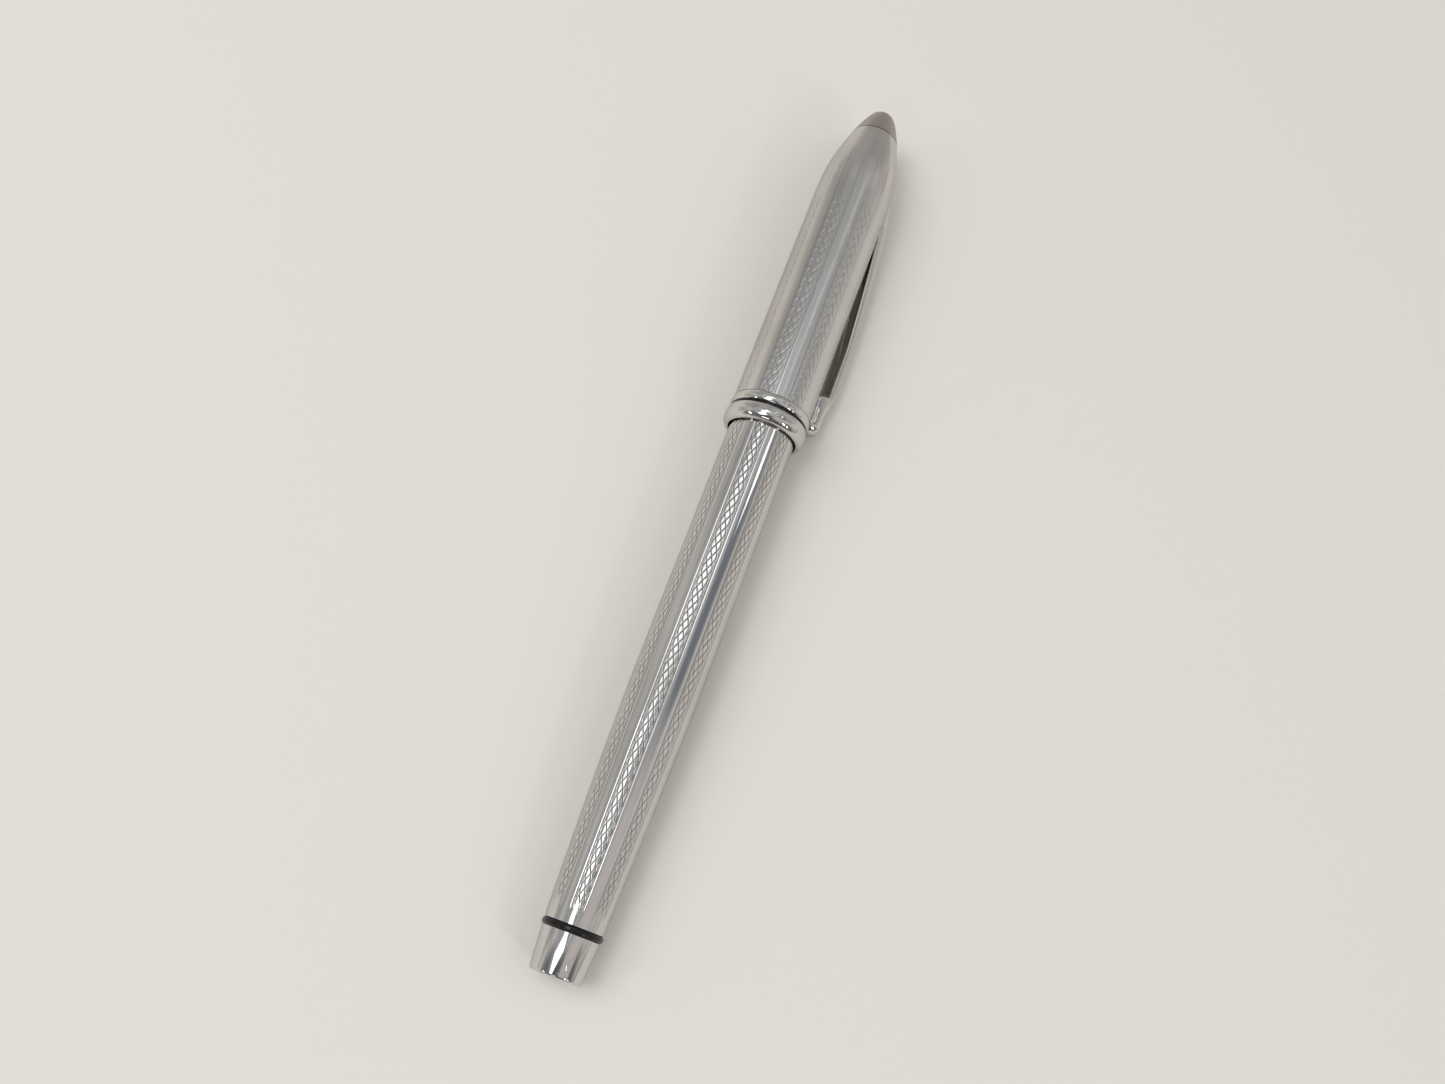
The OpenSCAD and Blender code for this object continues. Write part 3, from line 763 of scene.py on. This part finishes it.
seat_x = BALL_X - BALL_R - PLAY
cone = turned("tip_cone_turned", [(CONE_X, 0), (CONE_X, 2.2), (CONE_X + 4.2, 1.9), (CONE_X + 7.6, 1.15),
              (CONE_X + 9.2, 1.1), (CONE_X + 9.2, 0.75), (BALL_X - 1.1, 0.7), (BALL_X - 0.22, 0.42),
              (BALL_X - 0.22, BALL_R + PLAY), (seat_x, BALL_R + PLAY), (seat_x, 0)], corner=0.08)
lay_down(cone, "refill", refill_steel, "refill_steel", "tip_cone")
ball = turned("tip_ball_ground", [(BALL_X - BALL_R, 0)] + arc(BALL_X, 0, BALL_R, 174, 6, 28)
              + [(BALL_X + BALL_R, 0)], corner=0, steps=64)
lay_down(ball, "ball", ball_carbide, "ball_carbide", "tip_ball")

# ---- Writing section --------------------------------------------------------
# The front that unscrews: a threaded brass bush, a chromed collar with the snap
# ring's groove, a black resin grip and a chromed nose ring.
BUSH_R = THREAD_BORE_R - PLAY
BUSH_BORE_R = REFILL_R + 0.08
BUSH_END_X = 92
BUSH_STEP_R = 3.75
GRIP_X = 86.4
NOSE_X = 115.4
NOSE_END_X = 118.4
GROOVE_X = 84
SNAP_W = 0.9
black_resin = worn_finish("black_resin", (0.016, 0.016, 0.017), (0.03, 0.03, 0.031), 0, 0.24, 0.4,
                          scratch_depth=0.000004, grain=(1800, 1, 3e-6))


def outside_thread(x, radius, turn):
    """Radius of the bush's thread, cut inwards, with a plain land at each end."""
    if abs(radius - BUSH_R) > 0.01 or not THREAD_X + 0.9 < x < BARREL_END_X - 0.5:
        return radius
    share = (x / THREAD_PITCH + turn / (2 * math.pi) + 0.5) % 1
    return radius - THREAD_DEPTH * min(1, 1.25 * (1 - abs(2 * share - 1)))


shank = [(THREAD_X + 0.5 + (BARREL_END_X - THREAD_X - 0.5) * k / 84, BUSH_R) for k in range(85)]
bush = turned("thread_bush_brass", [(THREAD_X + 0.5, BUSH_BORE_R)] + shank
              + [(BARREL_END_X, BUSH_STEP_R), (BUSH_END_X, BUSH_STEP_R), (BUSH_END_X, BUSH_BORE_R)],
              corner=0, steps=120, relief=outside_thread)
lay_down(bush, "section", brass, "brass", "thread_bush", sharp=30)
groove = [(GROOVE_X - PLAY, 4.66), (GROOVE_X - PLAY, 4.2), (GROOVE_X + SNAP_W + PLAY, 4.2),
          (GROOVE_X + SNAP_W + PLAY, 4.62)]
collar_x = BARREL_END_X + PLAY
section_collar = turned("section_collar_polished", [(collar_x, BUSH_STEP_R), (collar_x, 4.66)]
                        + groove + [(GRIP_X, 4.58), (GRIP_X, BUSH_STEP_R)])
lay_down(section_collar, "section", chrome, "chrome", "section_collar")
grip_side = [(GRIP_X + (NOSE_X - GRIP_X) * k / 24, 4.55 - 0.5 * k / 24 - 0.45 * (k / 24) ** 2)
             for k in range(25)]
grip = turned("section_grip_moulded", grip_side + [(NOSE_X, 2.4), (COLLAR_X + 1.42, 2.4),
              (COLLAR_X + 1.42, BUSH_BORE_R), (BUSH_END_X, BUSH_BORE_R), (BUSH_END_X, BUSH_STEP_R),
              (GRIP_X, BUSH_STEP_R)])
lay_down(grip, "section", black_resin, "black_resin", "section_grip")
nose = turned("nose_ring_polished", [(NOSE_X, 2.35), (NOSE_X, 3.6), (NOSE_X + 0.8, 3.6),
              (NOSE_END_X - 0.5, 2.6), (NOSE_END_X, 2.2), (NOSE_END_X, 1.5), (NOSE_END_X - 1.2, 1.6),
              (NOSE_X + 1, 2.1)], corner=0.12)
lay_down(nose, "section", chrome, "chrome", "nose_ring")
snap = turned("snap_ring_split", [(GROOVE_X, 4.25), (GROOVE_X, 4.65), (GROOVE_X + SNAP_W / 2, 4.85),
              (GROOVE_X + SNAP_W, 4.65), (GROOVE_X + SNAP_W, 4.25)], corner=0.08,
              slit=2 * math.asin(0.6 / 4.5))
lay_down(snap, "snap_ring", spring_steel, "spring_steel", "snap_ring")

# ---- Cap tube ---------------------------------------------------------------
# A chromed tube with the same engraved bands, drawn to a bullet-shaped end. A slot
# near that end lets the clip's root into the cap.
CAP_R = 5.91
CAP_WALL = 0.5
DOME_X = 121.7
DOME_ARC_R = 40
SEAM_X = 134.4
TUBE_X = 83.8
SPIGOT_R = CAP_R - CAP_WALL
CLIP_W = 3.4
SLOT = (118.6, 127.1)
SLOT_PLAY = 0.12
CAP_BAND_TURN = math.radians(-16.5)


def cap_line(x, wall=0):
    """Radius of the cap at x, set in by a wall."""
    if x <= DOME_X:
        return CAP_R - wall
    return CAP_R - DOME_ARC_R + math.sqrt((DOME_ARC_R - wall) ** 2 - (x - DOME_X) ** 2)


dome_steps = [SEAM_X - (SEAM_X - DOME_X) * k / 9 for k in range(10)]
cap_inside = [(x, cap_line(x, CAP_WALL)) for x in dome_steps] + [(TUBE_X, SPIGOT_R)]
cap_panel = engraved_panel("cap_panel", cap_line, TUBE_X, SEAM_X, 1.84,
                           (TUBE_X - 2, 119.5), (TUBE_X - 2, 128.5), cap_inside)
# The cap's cuts are painted a mid grey, as painted shade in the engraving.
cap_chrome = engraved_finish("cap_chrome", 0.15, 0.2, (0.44, 0.43, 0.42))
cap_tube = grown("cap_tube_engraved", cap_panel, engraving, {
    "First Turn": CAP_BAND_TURN, "Cut Depth": 0.024, "Crown Height": 0.008, "Finish": cap_chrome})
turn_faces_out(cap_tube)
slot_half = CLIP_W / 2 + SLOT_PLAY


def slotted(mesh):
    """The mesh with the clip's slot cut through it, under the same name."""
    cutter = bpy.data.objects.new("slot_cutter", bpy.data.meshes.new("slot_cutter"))
    block = bmesh.new()
    bmesh.ops.create_cube(block, size=1)
    for corner in block.verts:
        side = slot_half if corner.co.y > 0 else -slot_half
        corner.co = (SLOT[corner.co.x > 0], side, 8 if corner.co.z > 0 else 3)
    block.to_mesh(cutter.data)
    block.free()
    cutter.data.transform(Matrix.Rotation(CLIP_TURN, 4, "X"))
    blank = bpy.data.objects.new("slot_blank", mesh)
    for helper in (cutter, blank):
        bpy.context.scene.collection.objects.link(helper)
    cut = blank.modifiers.new("slot", "BOOLEAN")
    cut.object = cutter
    cut.solver = "EXACT"
    bpy.context.view_layer.update()
    result = bpy.data.meshes.new_from_object(blank.evaluated_get(bpy.context.evaluated_depsgraph_get()))
    for helper in (cutter, blank):
        bpy.data.objects.remove(helper)
    name = mesh.name
    bpy.data.meshes.remove(mesh)
    result.name = name
    return result


lay_down(slotted(cap_tube), "cap", cap_chrome, "engraved_chrome", "cap_tube")

# ---- Cap mouth --------------------------------------------------------------
# A wide convex lip with the spigot that carries the rings, a black lacquered inlay
# ring, and a slim convex trim ring that meets the engraved tube.
LIP_X = 79.35
LIP_R = 6.25
LIP_HOLE_R = 5.05
LIP_TOP_X = LIP_X + 1.4
INLAY_X = 81.8
TRIM_X = 82.35
SPIGOT_END_X = 88.5
INLAY_ANGLE = 59
MOUTH_R = LIP_HOLE_R + 0.2
inlay_reach = (INLAY_X - LIP_TOP_X) / math.cos(math.radians(INLAY_ANGLE))

lip_crown = arc(LIP_TOP_X, MOUTH_R, LIP_TOP_X - LIP_X, 180, 90, 16, rise=LIP_R - MOUTH_R)
lip_crown += arc(LIP_TOP_X, LIP_HOLE_R, inlay_reach, 86, INLAY_ANGLE, 8, rise=LIP_R - LIP_HOLE_R)
lip_foot_r = lip_crown[-1][1]
cap_lip = turned("cap_lip_polished", lip_crown + [(INLAY_X, lip_foot_r - 0.1), (INLAY_X, SPIGOT_R),
                 (SPIGOT_END_X, SPIGOT_R), (SPIGOT_END_X, LIP_HOLE_R), (LIP_X + 0.4, LIP_HOLE_R)],
                 corner=0.03)
lay_down(cap_lip, "cap", chrome, "chrome", "cap_lip")
inlay = turned("cap_inlay_lacquered", [(INLAY_X - 0.02, SPIGOT_R), (INLAY_X - 0.02, CAP_R + 0.04),
               (TRIM_X + 0.02, CAP_R + 0.04), (TRIM_X + 0.02, SPIGOT_R)], corner=0.01)
lay_down(inlay, "cap", black_lacquer, "black_lacquer", "cap_inlay_ring")
trim_crown = [(TRIM_X + (TUBE_X - TRIM_X) * k / 16, CAP_R - 0.08 + 0.27 * math.sin(math.pi * k / 16) ** 0.6)
              for k in range(17)]
trim = turned("cap_trim_polished", trim_crown + [(TUBE_X, SPIGOT_R), (TRIM_X, SPIGOT_R)], corner=0)
lay_down(trim, "cap", chrome, "chrome", "cap_trim_ring")

# ---- Finial -----------------------------------------------------------------
# The nose of the cap: a turned, slightly darker plated cone with a round end, drawn
# down on a stud so that only a fine seam shows against the tube.
PEN_LEN = 140
NOSE_R = 2.35
STUD_END_X = 136
seat_r = cap_line(SEAM_X) - 0.04
finial_spigot = cap_line(SEAM_X, CAP_WALL) - 0.02
finial_finish = worn_finish("dark_nickel", (0.50, 0.47, 0.44), (0.46, 0.43, 0.40), 1, 0.34, 0.42)
LEAN = math.radians(33)
seat = Vector((SEAM_X + 0.18, seat_r))
brow = Vector((PEN_LEN - NOSE_R + NOSE_R * math.sin(LEAN), NOSE_R * math.cos(LEAN)))
dome_fall = (SEAM_X - DOME_X) / math.sqrt(DOME_ARC_R ** 2 - (SEAM_X - DOME_X) ** 2)
reach = (brow.y - seat.y + math.tan(LEAN) * (brow.x - seat.x)) / (math.tan(LEAN) - dome_fall)
knee = seat + Vector((reach, -dome_fall * reach))
flank = [seat * (1 - u) ** 2 + knee * 2 * u * (1 - u) + brow * u ** 2 for u in (k / 16 for k in range(16))]
finial_outline = [(SEAM_X - 2.4, 1.6), (SEAM_X - 2.4, finial_spigot), (SEAM_X, finial_spigot),
                  (SEAM_X, seat_r - 0.5), (SEAM_X + 0.15, seat_r - 0.5),
                  (SEAM_X + 0.15, seat_r - 0.04)] + flank
finial_outline += arc(PEN_LEN - NOSE_R, 0, NOSE_R, 57, 0, 24) + [(STUD_END_X, 0), (STUD_END_X, 1.6)]
finial = turned("finial_polished", finial_outline, corner=0)
lay_down(finial, "cap", finial_finish, "chrome", "finial")

# ---- Inside the cap ---------------------------------------------------------
# A grey plastic liner with a soft seal that the tip stops short of, a steel bush
# that grips the clip's root, and the brass stud that draws the finial down.
LINER_TOP_X = 127.3
STUD_X = 127.5
STUD_HEAD_R = 3.65
STUD_HEAD_W = 2.5
STUD_R = 1.6
STUD_PITCH = 0.5
STUD_THREAD_DEPTH = 0.14
neck_x = SLOT[0] - 0.6
liner_plastic = worn_finish("liner_plastic", (0.10, 0.10, 0.105), (0.13, 0.13, 0.13), 0, 0.38, 0.5,
                            grain=(2400, 1, 3e-6))
seal_rubber = worn_finish("seal_rubber", (0.018, 0.018, 0.018), (0.03, 0.03, 0.029), 0, 0.7, 0.85,
                          grain=(5200, 1, 8e-6))
cap_liner = turned("cap_liner_moulded", [(SPIGOT_END_X, 4.95), (SPIGOT_END_X, SPIGOT_R),
                   (neck_x - 1, SPIGOT_R), (neck_x - 0.3, 4.7), (neck_x, 3.6), (LINER_TOP_X, 3.6),
                   (LINER_TOP_X, 3.1), (SLOT[0], 3.1), (SLOT[0] - 2, 4.1), (SLOT[0] - 8, 4.95)], corner=0.15)
lay_down(cap_liner, "cap", liner_plastic, "liner_plastic", "cap_liner")
seal = turned("tip_seal_moulded", [(LINER_TOP_X - 1.4, 0), (LINER_TOP_X - 1.4, 0.9),
              (LINER_TOP_X - 0.9, 1.1), (LINER_TOP_X - 0.9, 3.1), (LINER_TOP_X, 3.1), (LINER_TOP_X, 0)],
              corner=0.12)
lay_down(seal, "cap", seal_rubber, "seal_rubber", "tip_seal")
retainer_skin = [(x, cap_line(x, CAP_WALL + 0.02)) for x in (DOME_X, 123.1, 124.5, 125.9, 127.2, 128.6, 130)]
retainer_x = SLOT[0] - 0.3
retainer = turned("clip_retainer_turned", retainer_skin + [(130, STUD_HEAD_R), (retainer_x, STUD_HEAD_R),
                  (retainer_x, SPIGOT_R - 0.02)], corner=0)
lay_down(slotted(retainer), "cap", spring_steel, "spring_steel", "clip_retainer")


def stud_thread(x, radius, turn):
    """Radius of the stud's fine thread."""
    if abs(radius - STUD_R) > 0.01 or not STUD_X + 3 < x < STUD_END_X - 0.3:
        return radius
    share = (x / STUD_PITCH + turn / (2 * math.pi)) % 1
    return radius - STUD_THREAD_DEPTH * (1 - abs(2 * share - 1))


neck = STUD_X + STUD_HEAD_W
stud_shank = [(neck + (STUD_END_X - STUD_X - STUD_HEAD_W) * k / 72, STUD_R) for k in range(73)]
stud_head = [(STUD_X, 0), (STUD_X, STUD_HEAD_R), (neck, STUD_HEAD_R)]
stud = turned("finial_stud_brass", stud_head + stud_shank + [(STUD_END_X, 0)], corner=0, steps=96,
              relief=stud_thread)
lay_down(stud, "cap", brass, "brass", "finial_stud", sharp=30)

# ---- Clip -------------------------------------------------------------------
# One strip of spring metal, polished and chromed, with a thick rounded foot. Its
# edges are eased, and its root passes through the slot to a bead inside the cap.
CLIP_END_X = 84.1
FOOT_NOSE_R = 1.3
FOOT_GAP = 0.05
CLIP_PIVOT = (122.6, 4.6)
ROOT_BEAD_R = 0.75
KNOB_R = 1.65
FOOT_EASE = 1.35
STRIP_EASE = 0.3
EASE_STEPS = 7
clip_outer = [(126.9, 5.55), (125.6, 6.3), (123.6, 7.05), (120, 7.62), (116.4, 7.97),
              (109.3, 8.5), (102.4, 8.9), (97, 9.12), (92, 9.15), (88, 9.08)]
clip_inner = [(90.6, 7.95), (98.6, 7.95), (102, 7.78), (108.9, 7.2), (115.9, 6.52), (119.4, 6.12)]


def smooth_line(points, steps):
    """A smooth curve through the points."""
    line = [Vector(points[0])] + [Vector(p) for p in points] + [Vector(points[-1])]
    curve = []
    for a, b, c, d in zip(line, line[1:], line[2:], line[3:]):
        for k in range(steps):
            u = k / steps
            curve.append(0.5 * (2 * b + (c - a) * u + (2 * a - 5 * b + 4 * c - d) * u ** 2
                                + (3 * b - a - 3 * c + d) * u ** 3))
    return curve + [line[-1]]


# The outline's lower and upper lines, each in order of x.
low_line = arc(CLIP_END_X + 0.8, CAP_R + FOOT_GAP + 0.8, 0.8, 180, 270, 8)
low_line += [(89.7, CAP_R + FOOT_GAP), (90.1, CAP_R + FOOT_GAP + 0.2), (90.3, 6.6), (90.6, 7.6)]
low_line += smooth_line([(91, 7.95)] + clip_inner[1:], 4) + [(121.5, 5.75)]
low_line += arc(*CLIP_PIVOT, ROOT_BEAD_R, 160, 380, 16) + [(126.2, 5.3), (126.9, 5.5)]
high_line = arc(CLIP_END_X + FOOT_NOSE_R, 9.0 - FOOT_NOSE_R, FOOT_NOSE_R, 180, 90, 10)
high_line += smooth_line(clip_outer, 4)[::-1]


def height_on(line, x):
    """Height of a line of points at x."""
    for (x0, r0), (x1, r1) in zip(line, line[1:]):
        if x0 <= x <= x1 and x1 > x0:
            return r0 + (r1 - r0) * (x - x0) / (x1 - x0)
    return line[-1][1] if x > line[-1][0] else line[0][1]


def clip_ring(x):
    """One rounded cross-section of the clip: full at the knob, a thin strip beyond it."""
    low, high = height_on(low_line, x), height_on(high_line, x)
    from_end = min(x - CLIP_END_X, KNOB_R)
    half_w = CLIP_W / 2 - KNOB_R + math.sqrt(KNOB_R ** 2 - (KNOB_R - from_end) ** 2)
    ease = STRIP_EASE + (FOOT_EASE - STRIP_EASE) * max(0, min(1, (91 - x) / 3))
    ease = min(ease, 0.48 * (high - low), 0.96 * half_w)
    ring = []
    for across, up, first in ((1, 1, 0), (-1, 1, 90), (-1, -1, 180), (1, -1, 270)):
        centre_y, centre_z = across * (half_w - ease), (high - ease if up > 0 else low + ease)
        for k in range(EASE_STEPS + 1):
            turn = math.radians(first + 90 * k / EASE_STEPS)
            ring.append((x, centre_y + ease * math.cos(turn), centre_z + ease * math.sin(turn)))
    return ring


clip_stations = [CLIP_END_X + KNOB_R * (1 - math.cos(math.pi / 2 * k / 12)) for k in range(1, 12)]
clip_stations += [86, 86.8, 87.6, 88.2, 88.7, 89.1, 89.4, 89.7, 89.9, 90.1, 90.3, 90.45, 90.6, 90.8, 91]
clip_stations += [91 + 30 * k / 40 for k in range(1, 41)] + [121.5, 121.9]
clip_stations += [CLIP_PIVOT[0] + ROOT_BEAD_R * math.cos(math.radians(160 - 10 * k)) for k in range(1, 15)]
clip_stations += [123.8, 124.6, 125.4, 126.2, 126.9]
clip_rings = [clip_ring(x) for x in clip_stations]
per_ring = len(clip_rings[0])
last_ring = per_ring * (len(clip_rings) - 1)
clip_faces = [list(range(per_ring)), list(range(last_ring, last_ring + per_ring))]
for r in range(len(clip_rings) - 1):
    here, ahead = per_ring * r, per_ring * (r + 1)
    for k in range(per_ring):
        n = (k + 1) % per_ring
        clip_faces.append([here + k, here + n, ahead + n, ahead + k])
clip_mesh = bpy.data.meshes.new("clip_polished")
clip_mesh.from_pydata([point for ring in clip_rings for point in ring], [], clip_faces)
turn_faces_out(clip_mesh)
clip_mesh.transform(Matrix.Rotation(CLIP_TURN, 4, "X"))
lay_down(clip_mesh, "clip", chrome, "chrome", "clip", sharp=60)
